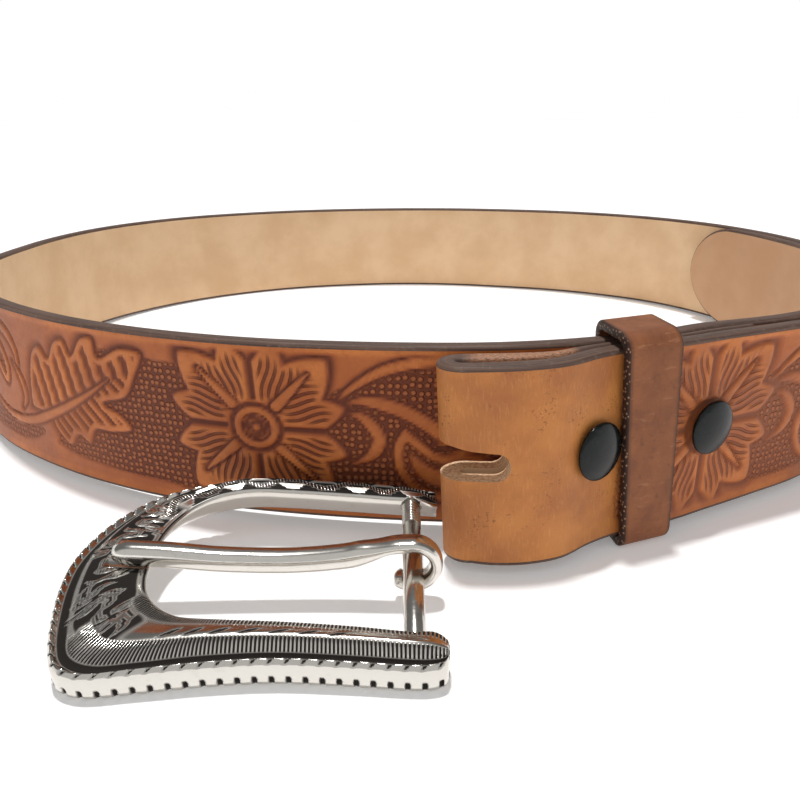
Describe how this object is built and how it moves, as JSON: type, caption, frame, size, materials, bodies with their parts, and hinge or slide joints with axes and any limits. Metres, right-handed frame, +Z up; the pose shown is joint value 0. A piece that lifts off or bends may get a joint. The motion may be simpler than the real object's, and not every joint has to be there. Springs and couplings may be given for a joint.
{
  "type": "western tooled belt",
  "caption": "Leather belt with floral tooling, standing in a loop, with a snap-closed buckle fold, a keeper and its loose western buckle lying in front.",
  "frame": {"origin": "middle of the underside of the whole object's box, on the surface that it stands on", "axes": "+Z up across the strap's width, -Y towards the viewer, where the fold and the buckle are, +X to the right in the front view"},
  "size_m": [0.2734, 0.3234, 0.0434],
  "materials": {
    "tooled_leather": "dyed tan vegetable-tanned leather, antiqued in the tooling",
    "keeper_leather": "smooth brown leather with burnished edges",
    "black_enamel": "glossy black",
    "snap_steel": "plain plated steel",
    "antique_nickel": "engraved nickel, darkened in the cuts",
    "bright_nickel": "polished nickel"
  },
  "bodies": {
    "root": {"strap": "tooled_leather", "keeper": "keeper_leather", "snap_1_cap": "black_enamel", "snap_1_post": "snap_steel", "snap_2_cap": "black_enamel", "snap_2_post": "snap_steel", "buckle_frame": "antique_nickel", "buckle_bar": "bright_nickel"},
    "prong": {"buckle_prong": "bright_nickel"}
  },
  "joints": [
    {"name": "prong_hinge", "type": "hinge", "parent": "root", "child": "prong", "pos_m": [-0.00202, -0.13559, 0.00696], "axis": [0, 0.9919, 0.1271], "range_deg": [0, 175]}
  ]
}
